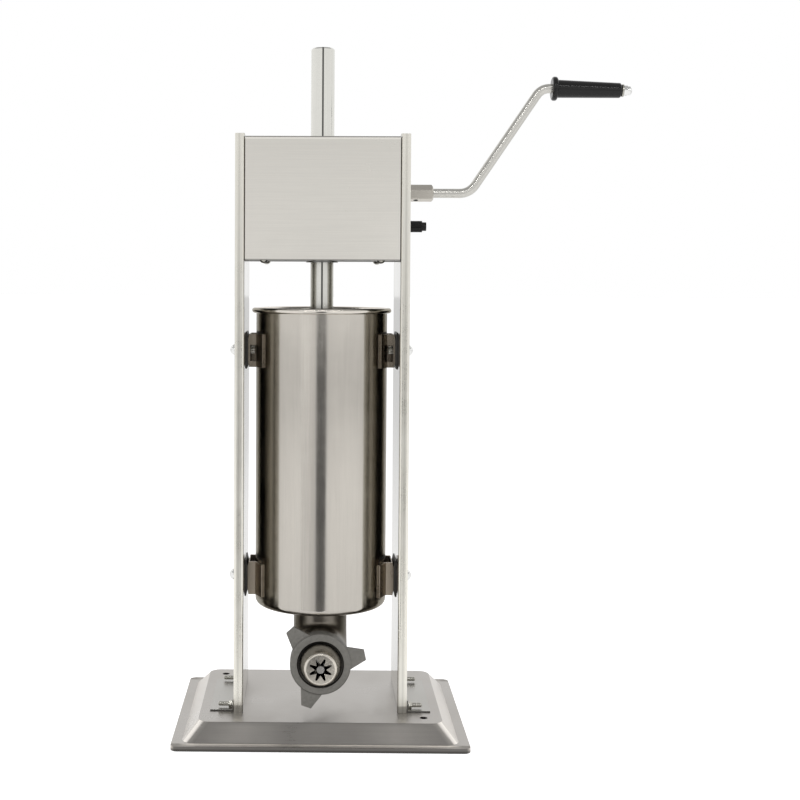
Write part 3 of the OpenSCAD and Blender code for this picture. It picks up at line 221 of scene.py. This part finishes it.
def metal(name, colour, roughness, grain=ALONG_Z, contrast=0.10, clouds=0.06, spread=0.07,
          bump=0.12, metallic=1.0, zones=(), sides=(), patches=(), wave=0.0):
    """Bare metal: grain in one direction, soft clouds of handling, and small specks of wear.

    zones: axis, low, high, colour factor, roughness factor, soft edge in mm
    patches: colour factor, then bands of axis, low, high and soft edge that have to meet
    sides: direction, low, high, colour factor, for surfaces that face that way
    Axes are 0, 1 and 2 for x, y and z. Low and high of a band are metres from the middle.
    """
    n = Nodes(name)
    streaks = n.noise(grain, *STREAK_NOISE, wave)
    cloud = n.noise(CLOUD, *CLOUD_NOISE)
    specks = n.noise(SPECKS, *SPECK_NOISE)
    tone = n.mix((n.spread(streaks, -1, 1), contrast), (n.spread(cloud, -1, 1), clouds),
                 (n.spread(specks, -1, 1), clouds / 2))
    tone = n.spread(tone, 0, 1, TONE_REACH)
    dark, light = shade(colour, METAL_DARK), shade(colour, METAL_LIGHT)
    tint = n.ramp(tone, (0.0, dark), (0.5, colour), (1.0, light))
    smooth = None
    for axis, low, high, factor, gloss, soft in zones:
        inside = n.band(axis, low, high, soft * MM)
        tint = n.tinted(tint, inside, factor)
        if gloss != 1:
            share = n.math("SUBTRACT", 1, n.math("MULTIPLY", inside, 1 - gloss))
            smooth = share if smooth is None else n.math("MULTIPLY", smooth, share)
    for factor, *bands in patches:
        inside = 1
        for axis, low, high, soft in bands:
            inside = n.math("MULTIPLY", n.band(axis, low, high, soft * MM), inside)
        tint = n.tinted(tint, inside, factor)
    for direction, low, high, factor in sides:
        tint = n.tinted(tint, n.facing(direction, low, high), factor)
    n.link(tint, n.shader.inputs["Base Color"])
    rough = n.mix((n.spread(streaks, -1, 1), spread / 2), (n.spread(cloud, -1, 1), spread),
                  (n.spread(specks, -1, 1), spread / 2))
    rough = n.math("ADD", rough, roughness, True)
    if smooth is not None:
        rough = n.math("MULTIPLY", rough, smooth)
    n.link(rough, n.shader.inputs["Roughness"])
    n.shader.inputs["Metallic"].default_value = metallic
    n.bump(streaks, bump, BUMP_DISTANCE)
    return n.material


def plastic(name, colour, roughness, grain=EVERY_WAY, bump=0.08, specular=0.5):
    """Plastic, rubber or painted metal: fine grain and soft clouds in equal shares."""
    n = Nodes(name)
    fine = n.noise(grain, *FINE_NOISE)
    cloud = n.noise(CLOUD, *SOFT_NOISE)
    tone = n.mix((fine, 0.5), (cloud, 0.5))
    tones = (shade(colour, PLASTIC_DARK), colour, shade(colour, PLASTIC_LIGHT))
    n.link(n.ramp(tone, *zip(PLASTIC_STOPS, tones)), n.shader.inputs["Base Color"])
    rough = n.spread(tone, roughness * PLASTIC_GLOSS, roughness * PLASTIC_DULL)
    n.link(rough, n.shader.inputs["Roughness"])
    n.shader.inputs["Specular IOR Level"].default_value = specular
    n.bump(fine, bump, BUMP_DISTANCE)
    return n.material


# The tray's light and dark bands follow the photograph's light, not a change of material
TRAY_ZONES = (
    (1, 0.1199, 1, 0.55, 1, 0.4),
    (1, 0.1116, 0.1199, 1, 2.2, 0.4),
    (2, -1, 0.0024, 0.50, 1, 0.8),
)
TRAY_PATCHES = (
    (2.20, (1, 0.1116, 0.1150, 0.4), (0, -1, 0.136, 6)),
    (1.50, (1, 0.1150, 0.1199, 0.4), (0, -1, 0.136, 8)),
    (0.78, (1, 0.0936, 0.0955, 0.5), (0, -1, 0.090, 12), (2, 0.018, 1, 1)),
    (1.45, (1, 0.0953, 0.1116, 2.0), (0, 0.060, 0.100, 25), (2, 0.004, 0.022, 4)),
)
TRAY_SIDES = (
    ((1, 0, 0), 0.45, 0.62, 1.60),
    ((0, 1, 0), 0.62, 0.74, 0.72),
    ((0.55, 0.55, 0.63), 0.95, 0.985, 2.40),
)

LOOKS = {
    "tray_steel": metal("tray_steel", linear(177, 173, 168), 0.34, ALONG_X, 0.05, 0.05, bump=0.05,
                        wave=0.8, zones=TRAY_ZONES, patches=TRAY_PATCHES, sides=TRAY_SIDES),
    # Painted shade on the uprights: darker inner web faces, a thin dark line along the front flange's bend,
    # darker towards the top and at the foot
    "upright_steel": metal("upright_steel", linear(241, 238, 228), 0.30, ALONG_Z, 0.04, 0.04,
                           zones=((0, -1, 0.0803, 0.56, 0.35, 0.3), (0, 0.0844, 0.0864, 0.86, 1, 0.3),
                                  (2, 0.38, 1, 0.88, 1, 150), (2, -1, 0.0292, 0.50, 1, 0.8))),
    # Painted shade: faces of the foot brackets turned to the front and back, such as the sheet's front
    # edge, are darker
    "foot_steel": metal("foot_steel", linear(176, 174, 169), 0.33, ALONG_Y, 0.06,
                        sides=(((0, 1, 0), 0.80, 0.95, 0.40),)),
    # Painted light and shade on the covers: dark lines at the top and bottom edges, a painted highlight
    # just under the top edge, and brighter towards the bottom
    "cover_steel": metal("cover_steel", linear(214, 211, 204), 0.30, ALONG_X, 0.03, 0.02, 0.03, 0.03,
                         zones=((2, 0.6160, 1, 0.35, 1, 0.3), (2, -1, 0.4915, 0.40, 1, 0.3),
                                (2, -1, 0.5500, 1.24, 1, 60), (2, 0.6140, 0.6158, 1.20, 1, 0.2))),
    "plate_steel": metal("plate_steel", linear(170, 169, 167), 0.32, ALONG_X, 0.10),
    "fastener_steel": metal("fastener_steel", linear(176, 174, 166), 0.25, EVERY_WAY, 0.08),
    "bright_nut_steel": metal("bright_nut_steel", linear(236, 236, 234), 0.14, EVERY_WAY,
                              0.03, 0.03, 0.03, 0.04),
    "bush_bronze": metal("bush_bronze", linear(196, 168, 118), 0.28, EVERY_WAY, 0.08),
    "shaft_steel": metal("shaft_steel", linear(190, 190, 188), 0.22, ALONG_X, 0.06),
    "gear_steel": metal("gear_steel", linear(150, 150, 148), 0.34, EVERY_WAY, 0.12),
    "black_steel": plastic("black_steel", linear(36, 35, 34), 0.42, EVERY_WAY, 0.2, 0.3),
    "black_knob": plastic("black_knob", linear(29, 29, 28), 0.30, EVERY_WAY, 0.06, 0.26),
    "grip_plastic": plastic("grip_plastic", linear(18, 18, 18), 0.17, EVERY_WAY, 0.002, 0.34),
    "hub_steel": metal("hub_steel", linear(200, 195, 186), 0.24, ALONG_X, 0.08),
    "rod_steel": metal("rod_steel", linear(206, 204, 198), 0.26, ALONG_X, 0.03, 0.03, 0.03, 0.012),
    "rack_steel": metal("rack_steel", linear(222, 221, 215), 0.22, ALONG_Z, 0.05,
                        zones=((0, -1, 0.0009, 0.12, 1, 0.3),)),
    "piston_plastic": plastic("piston_plastic", linear(226, 222, 212), 0.38, FINE_ALONG_Z, 0.1),
    "seal_rubber": plastic("seal_rubber", linear(214, 211, 203), 0.55, EVERY_WAY, 0.15),
    # Painted light and shade on the barrel: brighter towards the top, darker towards the bottom, and a
    # painted highlight on the rim bead
    "barrel_steel": metal("barrel_steel", linear(200, 195, 187), 0.16, ALONG_Z, 0.05, 0.04, 0.04, 0.05,
                          zones=((2, 0.38, 1, 1.10, 1, 40), (2, -1, 0.20, 0.93, 1, 50),
                                 (2, 0.4372, 1, 1.18, 1, 0.4))),
    # Painted shade: the upper brackets are darker
    "bracket_steel": metal("bracket_steel", linear(172, 161, 146), 0.30, ALONG_Z, 0.10, 0.08,
                           zones=((2, 0.30, 1, 0.72, 1, 5),)),
    # The pads' near-black colour is painted shade and a painted reflection of the dark barrel beside the
    # brackets
    "pad_steel": plastic("pad_steel", linear(58, 56, 53), 0.45, ALONG_Z, 0.2),
    # The elbow is the barrel's steel, painted darker as shade
    "elbow_steel": metal("elbow_steel", linear(133, 127, 118), 0.40, EVERY_WAY, 0.06, 0.05),
    # Painted shade: the nozzle is near black where it lies behind the nut's face, in the gap
    "nozzle_steel": metal("nozzle_steel", linear(214, 208, 197), 0.21, EVERY_WAY, 0.05,
                          zones=((1, -1, 0.0755, 0.06, 1, 0.4),)),
    "core_steel": metal("core_steel", linear(190, 188, 184), 0.22, EVERY_WAY, 0.06),
    "nut_metal": metal("nut_metal", linear(128, 126, 121), 0.50, EVERY_WAY, 0.14, 0.06, 0.08, 0.35, 0.6),
}

SLOT_NODES = {
    "tray_steel": ["base_tray"],
    "upright_steel": ["left_upright", "right_upright"],
    "foot_steel": ["left_foot_bracket", "right_foot_bracket"],
    "cover_steel": ["gearbox_front_cover", "gearbox_rear_cover"],
    "plate_steel": ["gearbox_top_plate", "gearbox_bottom_plate", "left_side_plate", "right_side_plate"],
    "fastener_steel": ["foot_bolts", "foot_nuts", "underside_dome_screws", "top_screws", "side_plate_bolts",
                       "side_plate_nuts", "mounting_studs", "stud_washers", "piston_washer", "piston_nut",
                       "air_valve", "grip_washer"],
    "bright_nut_steel": ["stud_cap_nuts", "grip_cap_nut"],
    "bush_bronze": ["shaft_bushes", "upper_rack_bush"],
    "shaft_steel": ["pinion_shaft", "crank_shaft", "gear_spacer", "pinion_shaft_collars",
                    "crank_shaft_collars"],
    "gear_steel": ["lower_rack_bush", "rack_pinion", "reduction_gear", "crank_pinion"],
    "black_steel": ["hub_set_screw", "air_valve_clip"],
    "black_knob": ["pinion_shaft_cap"],
    "grip_plastic": ["crank_grip"],
    "hub_steel": ["crank_hub"],
    "rod_steel": ["crank_rod"],
    "rack_steel": ["rack"],
    "piston_plastic": ["piston"],
    "seal_rubber": ["piston_seal", "outlet_gasket"],
    "barrel_steel": ["barrel"],
    "bracket_steel": ["upper_left_bracket", "lower_left_bracket", "upper_right_bracket",
                      "lower_right_bracket"],
    "pad_steel": ["bracket_pads"],
    "elbow_steel": ["outlet_elbow"],
    "nozzle_steel": ["nozzle"],
    "core_steel": ["nozzle_core"],
    "nut_metal": ["nozzle_nut"],
}
NODE_SLOT = {node: slot for slot, nodes in SLOT_NODES.items() for node in nodes}
BODY_OF = {node: body for body, nodes in frame["record"]["behaviour"]["bodies"].items() for node in nodes}


def dress(obj, look):
    obj.data.materials.clear()
    obj.data.materials.append(LOOKS[look])


MERGE_DISTANCE = 2e-6
FLAT_ANGLE = math.radians(0.6)
BEVEL_ANGLE = math.radians(32.0)
SMOOTH_ANGLE = math.radians(35.0)
NORMAL_WEIGHT = 100


def softened(node, width, segments):
    """A copy of a CAD node whose edges are broken by a small radius; it stands for the node."""
    source = frame["nodes"][node]
    mesh = source.data.copy()
    mesh.name = node + ".piece"
    bm = bmesh.new()
    bm.from_mesh(mesh)
    bmesh.ops.remove_doubles(bm, verts=bm.verts, dist=MERGE_DISTANCE)
    bmesh.ops.dissolve_limit(bm, angle_limit=FLAT_ANGLE, verts=bm.verts, edges=bm.edges)
    bm.to_mesh(mesh)
    bm.free()
    obj = bpy.data.objects.new(node + ".piece", mesh)
    scene.collection.objects.link(obj)
    bevel = obj.modifiers.new("edges", "BEVEL")
    bevel.width = width * MM
    bevel.segments = segments
    bevel.limit_method = "ANGLE"
    bevel.angle_limit = BEVEL_ANGLE
    bevel.use_clamp_overlap = True
    bevel.harden_normals = False
    bevel.miter_outer = "MITER_ARC"
    apply_modifiers(obj)
    smooth_by_angle(obj)
    even = obj.modifiers.new("even", "WEIGHTED_NORMAL")
    even.keep_sharp = True
    even.weight = NORMAL_WEIGHT
    apply_modifiers(obj)
    finish_piece(obj, node, NODE_SLOT[node])


def apply_modifiers(obj):
    graph = bpy.context.evaluated_depsgraph_get()
    mesh = bpy.data.meshes.new_from_object(obj.evaluated_get(graph))
    old = obj.data
    obj.modifiers.clear()
    obj.data = mesh
    mesh.name = old.name
    bpy.data.meshes.remove(old)


def smooth_by_angle(obj):
    mesh = obj.data
    mesh.polygons.foreach_set("use_smooth", [True] * len(mesh.polygons))
    mesh.set_sharp_from_angle(angle=SMOOTH_ANGLE)


def finish_piece(obj, node, look):
    dress(obj, look)
    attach(obj, BODY_OF[node])
    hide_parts(node)


def sheet(name, *faces):
    """Flat sheets of the stage, each through the given corners."""
    mesh = bpy.data.meshes.new(name)
    bm = bmesh.new()
    for corners in faces:
        bm.faces.new([bm.verts.new(c) for c in corners])
    bm.to_mesh(mesh)
    bm.free()
    obj = bpy.data.objects.new(name, mesh)
    scene.collection.objects.link(obj)
    return obj


FLOOR_HALF = 40.0
FLOOR_ROUGHNESS = 0.9
FLOOR_SPECULAR = 0.1
FLOOR_COLOUR = 0.82
FLOOR_GLOW = 0.55
FLOOR_GLOW_REFLECTED = 0.20
# The floor does not glow under the tray, which paints shade there: x range, y range
UNDER_TRAY = ((-0.148, 0.148), (-0.119, 0.119))


def make_stage():
    corners = ((-1, -1), (1, -1), (1, 1), (-1, 1))
    floor = sheet("floor", [(x * FLOOR_HALF, y * FLOOR_HALF, 0) for x, y in corners])
    n = Nodes("floor_white")
    n.shader.inputs["Base Color"].default_value = (FLOOR_COLOUR, FLOOR_COLOUR, FLOOR_COLOUR, 1)
    n.shader.inputs["Roughness"].default_value = FLOOR_ROUGHNESS
    n.shader.inputs["Specular IOR Level"].default_value = FLOOR_SPECULAR
    rays = n.add("ShaderNodeLightPath")
    seen = n.math("MULTIPLY", rays.outputs["Is Camera Ray"], FLOOR_GLOW)
    mirrored = n.math("MAXIMUM", rays.outputs["Is Glossy Ray"], rays.outputs["Is Transmission Ray"])
    glow = n.math("MAXIMUM", seen, n.math("MULTIPLY", mirrored, FLOOR_GLOW_REFLECTED))
    axes = n.add("ShaderNodeSeparateXYZ")
    n.link(n.place, axes.inputs[0])
    beyond = []
    for axis, (low, high) in enumerate(UNDER_TRAY):
        offset = n.math("SUBTRACT", axes.outputs[axis], (low + high) / 2)
        beyond.append(n.math("GREATER_THAN", n.math("ABSOLUTE", offset, 0), (high - low) / 2))
    outside = n.math("MAXIMUM", *beyond)
    n.shader.inputs["Emission Color"].default_value = (1, 1, 1, 1)
    n.link(n.math("MULTIPLY", glow, outside), n.shader.inputs["Emission Strength"])
    floor.data.materials.append(n.material)


WORLD_LIGHT = 0.62
BACKDROP_LEVEL = 1.0


def make_world():
    """Even light from all round; camera and reflections see the backdrop's level instead."""
    world = bpy.data.worlds.new("studio")
    scene.world = world
    world.use_nodes = True
    tree = world.node_tree
    tree.nodes.clear()
    out = tree.nodes.new("ShaderNodeOutputWorld")
    light = tree.nodes.new("ShaderNodeBackground")
    light.inputs[0].default_value = (1, 1, 1, 1)
    light.inputs[1].default_value = WORLD_LIGHT
    backdrop = tree.nodes.new("ShaderNodeBackground")
    backdrop.inputs[0].default_value = (1, 1, 1, 1)
    backdrop.inputs[1].default_value = BACKDROP_LEVEL
    rays = tree.nodes.new("ShaderNodeLightPath")
    total = None
    for key in ("Is Camera Ray", "Is Glossy Ray", "Is Transmission Ray"):
        if total is None:
            total = rays.outputs[key]
            continue
        node = tree.nodes.new("ShaderNodeMath")
        node.operation = "MAXIMUM"
        tree.links.new(total, node.inputs[0])
        tree.links.new(rays.outputs[key], node.inputs[1])
        total = node.outputs[0]
    mix = tree.nodes.new("ShaderNodeMixShader")
    tree.links.new(total, mix.inputs[0])
    tree.links.new(light.outputs[0], mix.inputs[1])
    tree.links.new(backdrop.outputs[0], mix.inputs[2])
    tree.links.new(mix.outputs[0], out.inputs[0])


def lamp(name, place, target, size, power):
    """A rectangular area lamp that reflections don't show."""
    data = bpy.data.lights.new(name, "AREA")
    data.shape = "RECTANGLE"
    data.size, data.size_y = size
    data.energy = power
    obj = bpy.data.objects.new(name, data)
    obj.location = place
    obj.rotation_mode = "QUATERNION"
    obj.rotation_quaternion = (Vector(target) - Vector(place)).to_track_quat("-Z", "Y")
    obj.visible_glossy = False
    scene.collection.objects.link(obj)


def card(name, level, *faces):
    """A glowing card of the studio that shows only in reflections."""
    obj = sheet(name, *faces)
    n = Nodes(name)
    n.shader.inputs["Base Color"].default_value = (0, 0, 0, 1)
    n.shader.inputs["Roughness"].default_value = 1.0
    n.shader.inputs["Specular IOR Level"].default_value = 0.0
    n.shader.inputs["Emission Color"].default_value = (1, 1, 1, 1)
    n.shader.inputs["Emission Strength"].default_value = level
    obj.data.materials.append(n.material)
    obj.visible_camera = obj.visible_diffuse = obj.visible_shadow = obj.visible_transmission = False


WEDGE_TIP = -0.065
WEDGE_NEAR, WEDGE_FAR = -0.30, -2.6
WEDGE_TOP = 0.45
WEDGE_LIFT = 2 * MM


def wedge(name, left, right, level):
    """A strip of the studio in front of the barrel between two bearings: on the floor, then standing."""
    def at(angle, y, z):
        return ((WEDGE_TIP - y) * math.tan(math.radians(angle)), y, z)

    card(name, level,
         [at(left, WEDGE_NEAR, WEDGE_LIFT), at(right, WEDGE_NEAR, WEDGE_LIFT),
          at(right, WEDGE_FAR, WEDGE_LIFT), at(left, WEDGE_FAR, WEDGE_LIFT)],
         [at(left, WEDGE_FAR, WEDGE_LIFT), at(right, WEDGE_FAR, WEDGE_LIFT),
          at(right, WEDGE_FAR, WEDGE_TOP), at(left, WEDGE_FAR, WEDGE_TOP)])


# Place, target, size in metres and power in watts
LAMPS = {
    "key": ((-1.3, -2.2, 2.3), (0, 0, 0.35), (1.6, 1.6), 26),
    "fill": ((2.0, -1.6, 1.5), (0, 0, 0.35), (1.4, 1.8), 12),
    "top": ((0.1, 0.4, 2.4), (0, 0, 0.3), (1.8, 1.8), 14),
}
CEILING_LEVEL, STRIP_LEVEL, RIDGE_LEVEL = 0.50, 14.0, 1.2
CEILING_CORNERS = [(-5, -5, 2.6), (5, -5, 2.6), (5, 1.5, 2.6), (-5, 1.5, 2.6)]
STRIP_CORNERS = [(x, -2.2, z) for x, z in ((-1.6, 2.11), (1.6, 2.11), (1.6, 2.19), (-1.6, 2.19))]
RIDGE_HEIGHT = 2.55
RIDGE_CORNERS = ((2.0, 0.2), (3.6, 0.2), (3.6, 1.5), (2.0, 1.5))
# Bearings in degrees from straight ahead of the barrel, and level
WEDGES = {
    "dark_wedge": (-9.0, 8.5, 0.15),
    "grey_wedge": (-20.0, -9.0, 0.80),
    "pale_wedge": (-36.0, -20.0, 0.90),
}

make_camera()
make_world()
make_stage()
for name, settings in LAMPS.items():
    lamp(name, *settings)
card("ceiling_card", CEILING_LEVEL, CEILING_CORNERS)
card("strip_card", STRIP_LEVEL, STRIP_CORNERS)
for side in (-1, 1):
    card("ridge_card_" + ("left" if side < 0 else "right"), RIDGE_LEVEL,
         [(side * x, y, RIDGE_HEIGHT) for x, y in RIDGE_CORNERS])
for name, settings in WEDGES.items():
    wedge(name, *settings)

for node, obj in frame["nodes"].items():
    dress(obj, NODE_SLOT[node])

# Width of the broken edge in mm, and its segments
SOFT_EDGES = {
    "base_tray": (0.8, 3), "left_upright": (0.6, 2), "right_upright": (0.6, 2),
    "left_foot_bracket": (0.7, 2), "right_foot_bracket": (0.7, 2),
    "gearbox_front_cover": (0.5, 2), "gearbox_rear_cover": (0.5, 2),
    "gearbox_top_plate": (0.4, 2), "gearbox_bottom_plate": (0.4, 2),
    "foot_nuts": (0.35, 2), "side_plate_nuts": (0.35, 2), "stud_cap_nuts": (0.4, 2),
    "crank_hub": (0.5, 2), "nozzle_nut": (0.8, 3), "nozzle": (0.5, 2),
    "upper_left_bracket": (0.35, 2), "lower_left_bracket": (0.35, 2),
    "upper_right_bracket": (0.35, 2), "lower_right_bracket": (0.35, 2),
    "bracket_pads": (0.3, 2),
}
for node, (width, segments) in SOFT_EDGES.items():
    softened(node, width, segments)
